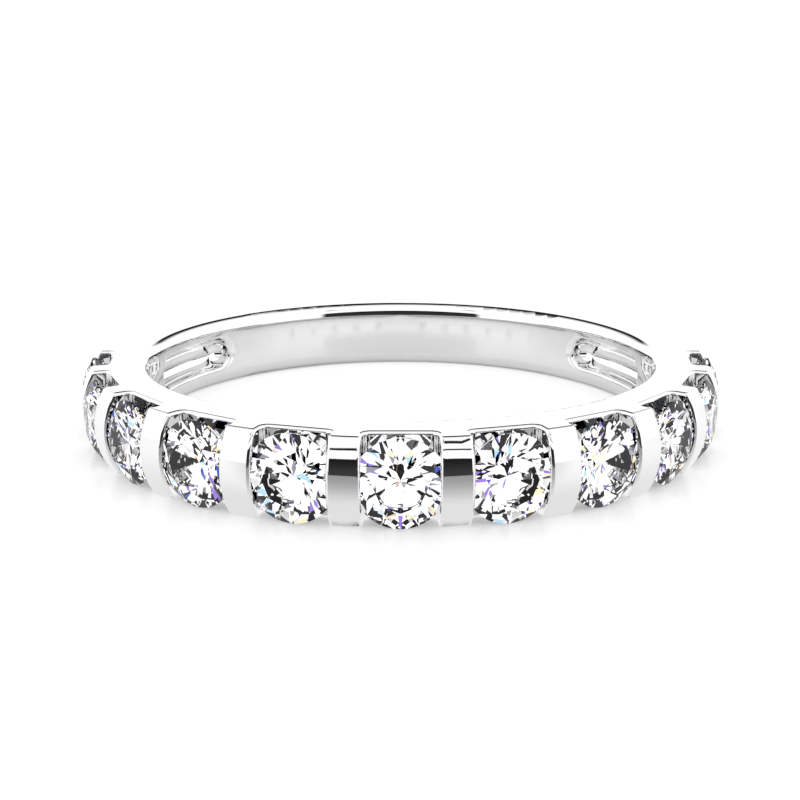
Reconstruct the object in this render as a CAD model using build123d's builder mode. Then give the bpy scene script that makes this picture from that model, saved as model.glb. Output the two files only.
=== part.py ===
from build123d import *

import os
from math import acos, asin, atan2, cos, degrees, radians, sin, sqrt, tan

# Bar set band, lying on its side. Millimetres, +Z up.
# The origin is the centre of the finger hole, half way across the band's width.
# The stones face -Y, the plain back of the band is at +Y.
# Angles round the finger are counted from the front, -Y, and grow towards +X.

# Finger hole
finger_radius = 8.45
comfort_curve = 16.0  # radius of the inner wall across the band's width
rim_ease = 0.75  # radius where the wall begins to turn outwards
rim_round = 0.30  # radius where it meets the side face
rim_turn = 24.0  # slope where the one radius gives way to the other

# Band
band_width = 2.5
outer_radius = 10.65  # to the crown of the bars
back_radius = 10.20  # to the crown of the plain back
dome_curve = 2.2  # radius of the outer face across the band's width
corner_round = 0.12
taper_start = 94.0  # angle where the shoulders begin to thin
shoulder_curve = 9.6  # radius of the arc that joins the front to the back

# Bars and the pockets between them
stones_per_side = 5
first_bar_angle = 8.0
bar_pitch = 16.62
rail_radius = 9.71  # distance of the pockets' flat floor from the finger's axis
pocket_floor_width = 1.95
pocket_mouth_width = 2.10  # between the bars' faces
floor_corner_round = 0.20
edge_round = 0.10

# Round brilliants
stone_diameter = 2.5
girdle_level = 10.28  # distance of the girdle from the finger's axis
girdle_thickness = 0.075
girdle_sides = 64
mains = 8
table_ratio = 0.57
crown_angle = 28.0
pavilion_angle = 40.75
star_length = 0.50
lower_half_length = 0.77

# Seats, and the windows under the stones
seat_gap = 0.02
seat_crown_angle = 41.0
window_radius = 0.40

# Hollows milled into the inner wall, one inside each shoulder
hollow_radius = 0.52  # along both sides of the flat floor
hollow_floor = 0.08  # width of the flat floor
hollow_depth = 0.64
lip_round = 0.15
lip_rise = 0.003  # how far the lip's arc would rise above the wall
run_out_slope = 0.45  # of the mouth's run-out at a hollow's ends
hollow_start = 102.3
hollow_end = 124.4

clear_of_band = 1.0  # how far a cut runs on past the metal

half_width = band_width / 2
stone_radius = stone_diameter / 2

# Angles of the stones, from the left shoulder round the front to the right one
side_angles = [first_bar_angle + bar_pitch * (step + 0.5) for step in range(stones_per_side)]
stone_angles = [-angle for angle in reversed(side_angles)] + [0.0] + side_angles

# Section of the band
section_depth = outer_radius - finger_radius + clear_of_band
dome_drop = dome_curve - sqrt(dome_curve**2 - half_width**2)
wall_height = half_width - rim_round - (rim_ease - rim_round) * sin(radians(rim_turn))
wall_slope = degrees(asin(wall_height / (comfort_curve - rim_ease)))

# Pocket, seat and window
flank_slope = (pocket_mouth_width - pocket_floor_width) / 2 / (outer_radius - rail_radius)
pocket_top = outer_radius + clear_of_band
pocket_top_width = pocket_floor_width + 2 * flank_slope * (pocket_top - rail_radius)
seat_radius = stone_radius + seat_gap
seat_bottom = girdle_level - girdle_thickness / 2 - seat_gap
seat_top = girdle_level + girdle_thickness / 2 + seat_gap
seat_peak = seat_top + seat_radius * tan(radians(seat_crown_angle))
cone_foot = seat_bottom - (seat_radius - window_radius) * tan(radians(pavilion_angle))
core_radius = finger_radius - clear_of_band

# Section of a hollow: the lip's arc is tangent to the hollow's arc and all but tangent to the wall
hollow_centre = finger_radius + hollow_depth - hollow_radius
comfort_centre = finger_radius + comfort_curve
near = hollow_radius + lip_round
far = comfort_curve - lip_round + lip_rise
across = comfort_centre - hollow_centre
apart = sqrt(across**2 + (hollow_floor / 2) ** 2)
lip_swing = acos((near**2 + apart**2 - far**2) / (2 * near * apart))
hollow_turn = degrees(lip_swing - atan2(hollow_floor / 2, across))
lip_x = hollow_centre + near * cos(radians(hollow_turn))
lip_y = hollow_floor / 2 + near * sin(radians(hollow_turn))
wall_turn = degrees(atan2(lip_y, lip_x - comfort_centre))
hollow_runs = [(-hollow_end, -hollow_start), (hollow_start, hollow_end)]

# Brilliant: heights are counted from the middle of the girdle
half_girdle = girdle_thickness / 2
main_step = 360 / mains
half_step = main_step / 2
flat_ratio = cos(radians(half_step))
crown_slope = tan(radians(crown_angle))
pavilion_slope = tan(radians(pavilion_angle))
table_radius = table_ratio * stone_radius
table_level = half_girdle + (stone_radius - table_radius) * crown_slope
star_radius = table_radius * flat_ratio + star_length * (stone_radius - table_radius * flat_ratio)
star_level = half_girdle + (stone_radius - star_radius * flat_ratio) * crown_slope
lower_radius = (1 - lower_half_length) * stone_radius
lower_level = -half_girdle - (stone_radius - lower_radius * flat_ratio) * pavilion_slope


def around(angle, radius):
    """The point at an angle round the finger, at mid width."""
    return Vector(radius * sin(radians(angle)), -radius * cos(radians(angle)), 0)


def section_plane(centre, angle):
    """A plane across the band: x runs outwards from the centre, y along the finger."""
    return Plane(origin=centre, x_dir=around(angle, 1), z_dir=around(angle - 90, 1))


def pocket_plane(angle):
    """A plane below the band: x runs along the pocket's floor, y away from the finger."""
    return Plane(origin=(0, 0, -band_width), x_dir=around(angle - 90, 1), z_dir=(0, 0, 1))


def stone_plane(angle):
    """The plane of a stone's girdle: its normal is the stone's own axis, away from the finger."""
    return Plane(origin=around(angle, girdle_level), x_dir=around(angle + 90, 1), z_dir=around(angle, 1))


def on_stone(azimuth, radius, height):
    """A point of the stone, counted round its own axis."""
    return Vector(radius * cos(radians(azimuth)), radius * sin(radians(azimuth)), height)


def facet(first, second, third):
    """The plane through three points of the stone that faces away from its middle."""
    normal = (second - first).cross(third - first)
    if normal.dot(first) < 0:
        normal = normal * -1
    return Plane(origin=first, z_dir=normal)


# Plan outline of the crown: a front arc, shoulder arcs and a back arc that meet smoothly
right_centre = around(taper_start, outer_radius - shoulder_curve)
left_centre = around(-taper_start, outer_radius - shoulder_curve)
rise = back_radius - right_centre.Y
back_curve = (shoulder_curve**2 - right_centre.X**2 - rise**2) / (2 * (shoulder_curve - rise))
back_centre = Vector(0, back_radius - back_curve, 0)
join = right_centre - back_centre
join_angle = 90 + degrees(atan2(join.Y, join.X))
shoulder_sweep = join_angle - taper_start
crown_arcs = [
    (Vector(0, 0, 0), outer_radius, -taper_start, 2 * taper_start),
    (right_centre, shoulder_curve, taper_start, shoulder_sweep),
    (back_centre, back_curve, join_angle, 2 * (180 - join_angle)),
    (left_centre, shoulder_curve, -join_angle, shoulder_sweep),
]

# Half the section of a hollow: x runs away from the finger's axis, y along it
with BuildSketch() as half_hollow:
    with BuildLine():
        side = CenterArc((hollow_centre, hollow_floor / 2), hollow_radius, 0, hollow_turn)
        lip = CenterArc((lip_x, lip_y), lip_round, hollow_turn - 180, wall_turn - hollow_turn - 180)
        mouth_x = (lip @ 1).X - run_out_slope * (half_width - (lip @ 1).Y)
        Polyline(
            lip @ 1,
            (mouth_x, half_width),
            (core_radius, half_width),
            (core_radius, 0),
            (hollow_centre + hollow_radius, 0),
            side @ 0,
        )
    make_face()

# The hollows, each a run round the finger between two round ends
with BuildPart() as hollows:
    for start, end in hollow_runs:
        with BuildSketch(section_plane((0, 0, 0), start)):
            add(half_hollow.sketch)
            mirror(about=Plane.XZ)
        revolve(axis=Axis.Z, revolution_arc=end - start)
        for end_angle, turn in ((start, 1), (end, -1)):
            with BuildSketch(section_plane((0, 0, 0), end_angle)):
                add(half_hollow.sketch)
            revolve(axis=Axis((0, 0, 0), around(end_angle, turn)), revolution_arc=180)

# The seats, each with a round window through the inner wall
with BuildPart() as seats:
    for angle in stone_angles:
        with BuildSketch(section_plane((0, 0, 0), angle)):
            with BuildLine():
                Polyline(
                    (core_radius, 0),
                    (core_radius, window_radius),
                    (cone_foot, window_radius),
                    (seat_bottom, seat_radius),
                    (seat_top, seat_radius),
                    (seat_peak, 0),
                    close=True,
                )
            make_face()
        revolve(axis=Axis((0, 0, 0), around(angle, 1)))

# Band: one solid of metal
with BuildPart() as band:
    # The domed section, carried round the finger
    for centre, radius, start, sweep_angle in crown_arcs:
        with BuildSketch(section_plane(centre, start)) as section:
            with BuildLine():
                Polyline(
                    (radius - dome_drop, half_width),
                    (radius - section_depth, half_width),
                    (radius - section_depth, -half_width),
                    (radius - dome_drop, -half_width),
                )
                ThreePointArc(
                    (radius - dome_drop, -half_width), (radius, 0), (radius - dome_drop, half_width)
                )
            make_face()
            fillet(section.vertices().group_by(Axis.X)[-1], corner_round)
        revolve(axis=Axis(centre, (0, 0, 1)), revolution_arc=sweep_angle)

    # The inner wall: a comfort curve that turns outwards into two rims
    with BuildSketch(section_plane((0, 0, 0), 180)):
        with BuildLine():
            wall = JernArc((finger_radius, 0), (0, 1), comfort_curve, -wall_slope)
            ease = JernArc(wall @ 1, wall % 1, rim_ease, wall_slope - rim_turn)
            rim = JernArc(ease @ 1, ease % 1, rim_round, rim_turn - 90)
            Polyline(rim @ 1, (pocket_top, half_width), (pocket_top, 0), (finger_radius, 0))
        make_face()
        mirror(about=Plane.XZ)
    revolve(axis=Axis.Z, mode=Mode.INTERSECT)

    # Pockets between the bars, right across the band
    for angle in stone_angles:
        with BuildSketch(pocket_plane(angle)) as pocket:
            with BuildLine():
                Polyline(
                    (-pocket_floor_width / 2, rail_radius),
                    (pocket_floor_width / 2, rail_radius),
                    (pocket_top_width / 2, pocket_top),
                    (-pocket_top_width / 2, pocket_top),
                    close=True,
                )
            make_face()
            fillet(pocket.vertices().group_by(Axis.Y)[0], floor_corner_round)
        extrude(amount=2 * band_width, mode=Mode.SUBTRACT)
        fillet(band.edges(Select.LAST).filter_by(Axis.Z, reverse=True), edge_round)

    # The hollows and the seats
    add(hollows.part, mode=Mode.SUBTRACT)
    add(seats.part, mode=Mode.SUBTRACT)

# Round brilliant, cut from a round blank: its axis is Z and its girdle lies on the XY plane
with BuildPart() as brilliant:
    with BuildSketch(Plane.XY.offset(-stone_radius)):
        RegularPolygon(stone_radius, girdle_sides)
    extrude(amount=stone_radius + table_level)
    down = Vector(0, 0, -girdle_thickness)
    for step in range(mains):
        azimuth = main_step * step
        girdle_main = on_stone(azimuth, stone_radius, half_girdle)
        girdle_between = on_stone(azimuth + half_step, stone_radius, half_girdle)
        girdle_after = on_stone(azimuth + main_step, stone_radius, half_girdle)
        table_main = on_stone(azimuth, table_radius, table_level)
        table_after = on_stone(azimuth + main_step, table_radius, table_level)
        star_tip = on_stone(azimuth + half_step, star_radius, star_level)
        star_before = on_stone(azimuth - half_step, star_radius, star_level)
        lower_tip = on_stone(azimuth + half_step, lower_radius, lower_level)
        lower_before = on_stone(azimuth - half_step, lower_radius, lower_level)
        facets = [
            facet(table_main, star_tip, star_before),
            facet(table_main, table_after, star_tip),
            facet(girdle_main, girdle_between, star_tip),
            facet(girdle_between, girdle_after, star_tip),
            facet(girdle_main + down, lower_tip, lower_before),
            facet(girdle_main + down, girdle_between + down, lower_tip),
            facet(girdle_between + down, girdle_after + down, lower_tip),
        ]
        for plane in facets:
            split(bisect_by=plane, keep=Keep.BOTTOM)

os.makedirs("parts", exist_ok=True)
band.part.label = "band"
export_step(band.part, "parts/band.step")

for number, angle in enumerate(stone_angles, start=1):
    with BuildPart(stone_plane(angle)) as stone:
        add(brilliant.part)
    stone.part.label = f"stone_{number:02d}"
    export_step(stone.part, f"parts/stone_{number:02d}.step")
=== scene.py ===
import math

import bpy
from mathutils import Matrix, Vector


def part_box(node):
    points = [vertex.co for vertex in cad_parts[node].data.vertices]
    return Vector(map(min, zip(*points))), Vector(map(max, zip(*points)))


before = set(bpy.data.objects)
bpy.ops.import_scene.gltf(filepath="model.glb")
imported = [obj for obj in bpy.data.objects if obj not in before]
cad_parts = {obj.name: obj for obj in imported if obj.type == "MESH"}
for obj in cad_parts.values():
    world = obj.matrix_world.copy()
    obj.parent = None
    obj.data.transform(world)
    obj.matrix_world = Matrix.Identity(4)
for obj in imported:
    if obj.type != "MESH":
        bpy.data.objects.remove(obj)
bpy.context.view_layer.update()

MM = 0.001

# The camera looks down at the ring by this much, from straight in front of the stones
CAMERA_ELEVATION = math.radians(15.25)
CAMERA_DISTANCE = 40 * MM
CAMERA_DROP = 0.525 * MM  # how far the picture's middle lies below the ring's centre
FOCAL_PIXELS = 1157
IMAGE_PIXELS = 800
SHIFT_PIXELS = -0.5
SENSOR = 36.0
VIEW_RANGE = (1 * MM, 10)

FLOOR_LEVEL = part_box("band")[0][2]
FLOOR_SIZE = 6.0
FLOOR_ROUGHNESS = 0.2
FLOOR_GLOSS = 0.15
GLOSS_REACH = (14 * MM, 30 * MM)  # how far from the ring's centre the floor's gloss fades
FLOOR_PAINT = (0.70, 0.32)  # how pale it is, and how much light it gives
HOLE_FLOOR_PAINT = (0.60, 0.12)
HOLE_FLOOR_RADIUS = 9.0 * MM
HOLE_FLOOR_RISE = 0.002 * MM
HOLE_FLOOR_SIDES = 96

# Polished silver
SMUDGE_SCALE = 420.0
SCRATCH_SCALE = 9000.0
SMUDGE_RANGE = (0.3, 0.75)
SILVER_ROUGHNESS = (0.018, 0.04)
SILVER_TINTS = ((0.925, 0.925, 0.925), (0.955, 0.955, 0.95))
SCRATCH_STRENGTH = 0.012
SCRATCH_DEPTH = 2e-6

# Cut stone
STONE_IOR = 2.4
STONE_GLARE = (0.25, 0.25, 0.27, 1)  # keeps the dark facets dark

# Studio, in degrees: pitch runs from the horizon in front of the ring, up over it, to the one behind
PANEL_PITCH = (-4.0, 21.5)  # a dark panel straight in front
PANEL_SOFT = 0.5
FRONT_REACH = 40.0  # how far the panel and the gaps go to each side
FRONT_SOFT = 2
GAP_PITCHES = (34.0, 43.5)  # dark gaps between the lamps in front
GAP_WIDTH = 2.2
GAP_SOFT = 0.4
CEILING_PITCH = (92.0, 158.0)  # a dark ceiling above and behind the ring
CEILING_SOFT = 3.0
CEILING_DUSK = (104.0, 116.0)  # where it turns from half dark to dark
DUSK = 0.45
CEILING_REACH = (0.15, 0.55)  # how far it goes to the sides before it is white again
HORIZON_SOFT = 0.6

# Light levels; the ground's are at its upper and lower height
DARK = (0.045, 0.012)  # at the panel's lower and upper edge
LAMPS = 1.1
ROOM_LIGHT = 1.25
GROUND_IN_FRONT = (0.34, 0.80)
GROUND_ASIDE = (1.02, 0.80)
GROUND_HEIGHTS = (-4.0, -50.0)
GROUND_BLEND = 20  # how many degrees the one ground takes to turn into the other
SHADE_HEIGHTS = (-72.0, -82.0)  # where the ring's own shade on the floor begins and is full
SHADE = 0.15

# What the stones sparkle with: each patch of the studio takes a colour by its own random number
PATCH_SCALE = 6.0
PATCHES = (
    (0.00, (0.0, 0.0, 0.0)),
    (0.19, (0.35, 0.35, 0.42)),
    (0.26, (1.4, 1.4, 1.4)),
    (0.86, (0.40, 0.25, 0.90)),
    (0.90, (0.05, 0.12, 0.60)),
    (0.93, (0.55, 0.88, 1.15)),
    (0.96, (0.60, 0.25, 0.12)),
    (0.98, (1.40, 1.10, 0.70)),
)
CALM_REACH = (22.0, 30.0)  # round the camera, in degrees, where the studio is plain white


class Tree:
    """Adds nodes to a material's or a world's tree and links them."""

    def __init__(self, owner):
        owner.use_nodes = True
        self.tree = owner.node_tree
        self.tree.nodes.clear()

    def node(self, kind, inputs=(), **settings):
        made = self.tree.nodes.new(kind)
        for name, value in settings.items():
            setattr(made, name, value)
        for key, value in dict(inputs).items():
            if isinstance(value, bpy.types.NodeSocket):
                self.tree.links.new(value, made.inputs[key])
            else:
                made.inputs[key].default_value = value
        return made

    def maths(self, operation, first, second=0.0):
        return self.node("ShaderNodeMath", {0: first, 1: second}, operation=operation).outputs[0]

    def ramp(self, value, low, high, start=0.0, end=1.0):
        """A smooth step from start to end as the value goes from low to high."""
        inputs = {"Value": value, "From Min": low, "From Max": high, "To Min": start, "To Max": end}
        return self.node("ShaderNodeMapRange", inputs, interpolation_type="SMOOTHSTEP").outputs["Result"]

    def between(self, value, low, high, soft):
        """One inside the range, nought outside it, with soft edges."""
        rise = self.ramp(value, low - soft, low + soft)
        fall = self.ramp(value, high - soft, high + soft, 1.0, 0.0)
        return self.maths("MULTIPLY", rise, fall)

    def noise(self, place, scale, detail):
        inputs = {"Vector": place, "Scale": scale, "Detail": detail}
        return self.node("ShaderNodeTexNoise", inputs).outputs["Fac"]

    def grey(self, value):
        """A grey of the value's level."""
        return self.node("ShaderNodeCombineColor", {0: value, 1: value, 2: value}).outputs[0]

    def blend(self, factor, first, second):
        """From the first colour to the second."""
        mix = self.node("ShaderNodeMix", data_type="RGBA")
        for socket, value in ((mix.inputs[0], factor), (mix.inputs[6], first), (mix.inputs[7], second)):
            if isinstance(value, bpy.types.NodeSocket):
                self.tree.links.new(value, socket)
            elif isinstance(value, float):
                socket.default_value = value
            else:
                socket.default_value = (*value, 1.0)
        return mix.outputs[2]


def grey(level):
    return (level, level, level)


def polished_silver():
    made = bpy.data.materials.new("polished_silver")
    tree = Tree(made)
    place = tree.node("ShaderNodeTexCoord").outputs["Object"]
    smudges = tree.noise(place, SMUDGE_SCALE, 3.0)
    scratches = tree.noise(place, SCRATCH_SCALE, 2.0)
    rough = tree.ramp(smudges, *SMUDGE_RANGE, *SILVER_ROUGHNESS)
    relief = tree.node(
        "ShaderNodeBump", {"Height": scratches, "Strength": SCRATCH_STRENGTH, "Distance": SCRATCH_DEPTH}
    )
    tint = tree.blend(smudges, *SILVER_TINTS)
    shader = tree.node(
        "ShaderNodeBsdfPrincipled",
        {"Base Color": tint, "Metallic": 1.0, "Roughness": rough, "Normal": relief.outputs[0]},
    )
    tree.node("ShaderNodeOutputMaterial", {"Surface": shader.outputs[0]})
    return made


def cut_stone():
    made = bpy.data.materials.new("cut_stone")
    tree = Tree(made)
    shader = tree.node(
        "ShaderNodeBsdfPrincipled",
        {
            "Base Color": (1, 1, 1, 1),
            "Roughness": 0.0,
            "IOR": STONE_IOR,
            "Specular Tint": STONE_GLARE,
            "Transmission Weight": 1.0,
        },
    )
    tree.node("ShaderNodeOutputMaterial", {"Surface": shader.outputs[0]})
    return made


def floor_material(name, level, glow):
    """A pale floor with a faint light of its own, which keeps its shadows light."""
    made = bpy.data.materials.new(name)
    tree = Tree(made)
    place = tree.node("ShaderNodeTexCoord").outputs["Object"]
    distance = tree.node("ShaderNodeVectorMath", {0: place}, operation="LENGTH").outputs["Value"]
    gloss = tree.ramp(distance, *GLOSS_REACH, FLOOR_GLOSS, 0.0)
    shader = tree.node(
        "ShaderNodeBsdfPrincipled",
        {
            "Base Color": (level, level, level, 1),
            "Roughness": FLOOR_ROUGHNESS,
            "Specular IOR Level": gloss,
            "Emission Color": (1, 1, 1, 1),
            "Emission Strength": glow,
        },
    )
    tree.node("ShaderNodeOutputMaterial", {"Surface": shader.outputs[0]})
    return made


def add_floor():
    """The floor that the camera sees, and the part inside the ring that the inner wall mirrors."""
    bpy.ops.mesh.primitive_plane_add(size=FLOOR_SIZE, location=(0, 0, FLOOR_LEVEL))
    floor = bpy.context.object
    floor.name = "floor"
    floor.visible_glossy = False
    bpy.ops.mesh.primitive_circle_add(
        vertices=HOLE_FLOOR_SIDES,
        radius=HOLE_FLOOR_RADIUS,
        fill_type="NGON",
        location=(0, 0, FLOOR_LEVEL + HOLE_FLOOR_RISE),
    )
    inside = bpy.context.object
    inside.name = "floor_inside"
    inside.visible_camera = False
    inside.visible_diffuse = False
    inside.visible_shadow = False
    for stage, level, glow in ((floor, *FLOOR_PAINT), (inside, *HOLE_FLOOR_PAINT)):
        stage.visible_transmission = False
        stage.data.materials.append(floor_material(stage.name, level, glow))


def sparkle(tree, direction):
    """Patches of light and dark round a white field at the camera."""
    cells = tree.node("ShaderNodeTexVoronoi", {"Vector": direction, "Scale": PATCH_SCALE})
    number = tree.node("ShaderNodeSeparateColor", {0: cells.outputs["Color"]}).outputs[0]
    patches = tree.node("ShaderNodeValToRGB", {0: number})
    stops = patches.color_ramp
    stops.interpolation = "CONSTANT"
    for place, _ in PATCHES[1:-1]:
        stops.elements.new(place)
    for stop, (place, colour) in zip(stops.elements, PATCHES):
        stop.position = place
        stop.color = (*colour, 1.0)
    away = (0.0, -math.cos(CAMERA_ELEVATION), math.sin(CAMERA_ELEVATION))
    toward = tree.node("ShaderNodeVectorMath", {0: direction, 1: away}, operation="DOT_PRODUCT")
    reach = tree.maths("DEGREES", tree.maths("ARCCOSINE", toward.outputs["Value"]))
    calm = tree.ramp(reach, *CALM_REACH, 1.0, 0.0)
    return tree.blend(calm, patches.outputs["Color"], grey(LAMPS))


def add_studio():
    """Soft white light from all round, with the dark shapes that polished metal mirrors."""
    world = bpy.data.worlds.new("studio")
    bpy.context.scene.world = world
    tree = Tree(world)
    direction = tree.node("ShaderNodeTexCoord").outputs["Generated"]
    side, back, up = tree.node("ShaderNodeSeparateXYZ", {0: direction}).outputs
    front = tree.maths("MULTIPLY", back, -1.0)
    pitch = tree.maths("DEGREES", tree.maths("ARCTAN2", up, front))
    reach = tree.maths("ABSOLUTE", tree.maths("DEGREES", tree.maths("ARCTAN2", side, front)))
    height = tree.maths("DEGREES", tree.maths("ARCSINE", up))

    in_front = tree.ramp(reach, FRONT_REACH - FRONT_SOFT, FRONT_REACH + FRONT_SOFT, 1.0, 0.0)
    dark = tree.maths("MULTIPLY", tree.between(pitch, *PANEL_PITCH, PANEL_SOFT), in_front)
    for gap in GAP_PITCHES:
        line = tree.between(pitch, gap - GAP_WIDTH / 2, gap + GAP_WIDTH / 2, GAP_SOFT)
        dark = tree.maths("MAXIMUM", dark, tree.maths("MULTIPLY", line, in_front))
    spread = tree.ramp(tree.maths("ABSOLUTE", side), *CEILING_REACH, 1.0, 0.0)
    ceiling = tree.maths("MULTIPLY", tree.between(pitch, *CEILING_PITCH, CEILING_SOFT), spread)
    ceiling = tree.maths("MULTIPLY", ceiling, tree.ramp(pitch, *CEILING_DUSK, DUSK, 1.0))
    dark = tree.maths("MAXIMUM", dark, ceiling)

    ground_in_front = tree.grey(tree.ramp(height, *GROUND_HEIGHTS, *GROUND_IN_FRONT))
    ground_aside = tree.grey(tree.ramp(height, *GROUND_HEIGHTS, *GROUND_ASIDE))
    near_front = tree.ramp(reach, FRONT_REACH, FRONT_REACH + GROUND_BLEND, 1.0, 0.0)
    ground = tree.blend(near_front, ground_aside, ground_in_front)
    shade = tree.ramp(height, *SHADE_HEIGHTS)
    ground = tree.blend(shade, ground, grey(SHADE))
    below = tree.ramp(height, -HORIZON_SOFT, HORIZON_SOFT, 1.0, 0.0)
    lit = tree.blend(below, grey(LAMPS), ground)
    mirrored = tree.blend(dark, lit, tree.grey(tree.ramp(pitch, *PANEL_PITCH, *DARK)))

    path = tree.node("ShaderNodeLightPath")
    colour = tree.blend(path.outputs["Is Glossy Ray"], grey(ROOM_LIGHT), mirrored)
    colour = tree.blend(path.outputs["Is Transmission Ray"], colour, sparkle(tree, direction))
    light = tree.node("ShaderNodeBackground", {"Color": colour, "Strength": 1.0})
    tree.node("ShaderNodeOutputWorld", {"Surface": light.outputs[0]})


def add_camera():
    data = bpy.data.cameras.new("camera")
    camera = bpy.data.objects.new("camera", data)
    bpy.context.scene.collection.objects.link(camera)
    away = Vector((0, -math.cos(CAMERA_ELEVATION), math.sin(CAMERA_ELEVATION)))
    upright = Vector((0, math.sin(CAMERA_ELEVATION), math.cos(CAMERA_ELEVATION)))
    camera.location = away * CAMERA_DISTANCE - upright * CAMERA_DROP
    camera.rotation_euler = (math.pi / 2 - CAMERA_ELEVATION, 0, 0)
    data.sensor_width = SENSOR
    data.lens = FOCAL_PIXELS * SENSOR / IMAGE_PIXELS
    data.shift_x = SHIFT_PIXELS / IMAGE_PIXELS
    data.clip_start, data.clip_end = VIEW_RANGE
    bpy.context.scene.camera = camera


silver = polished_silver()
crystal = cut_stone()
for name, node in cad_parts.items():
    node.data.materials.clear()
    node.data.materials.append(silver if name == "band" else crystal)

add_floor()
add_studio()
add_camera()
bpy.context.scene.view_settings.view_transform = "Standard"
